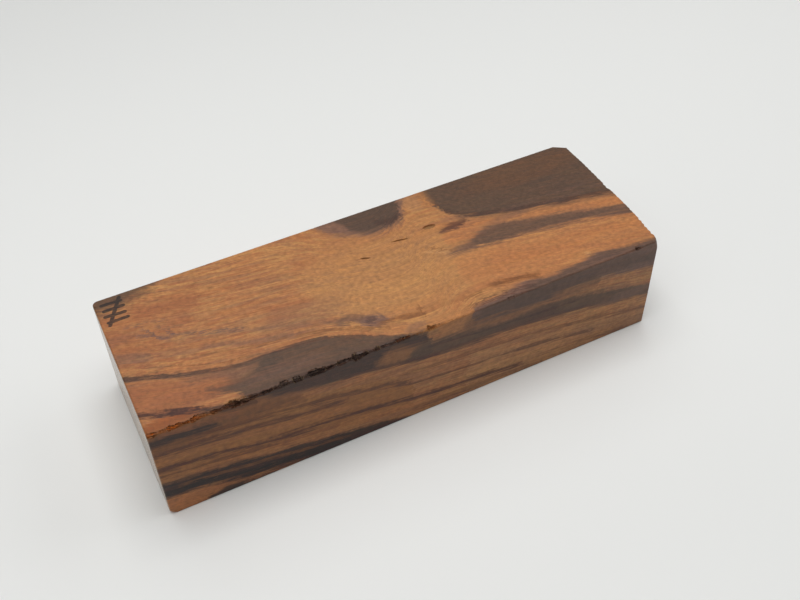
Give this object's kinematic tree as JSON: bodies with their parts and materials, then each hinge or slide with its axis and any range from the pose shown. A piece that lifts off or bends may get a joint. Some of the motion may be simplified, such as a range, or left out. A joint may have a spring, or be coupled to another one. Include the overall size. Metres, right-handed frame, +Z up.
{
  "type": "arizona ironwood block",
  "caption": "Sawn rectangular block of figured desert ironwood with square faces, a torn long top edge and a rough-sawn end, for turning or carving.",
  "frame": {"origin": "middle of the block's box at its bottom face, which it rests on", "axes": "+X along the grain towards the rough-sawn end, +Y to the back, +Z up out of the top face"},
  "size_m": [0.13, 0.0436, 0.029],
  "materials": {
    "ironwood": "sawn and lightly sanded, unfinished, orange-brown heartwood with dark grey-brown figure"
  },
  "bodies": {
    "root": {"ironwood_block": "ironwood"}
  },
  "joints": []
}
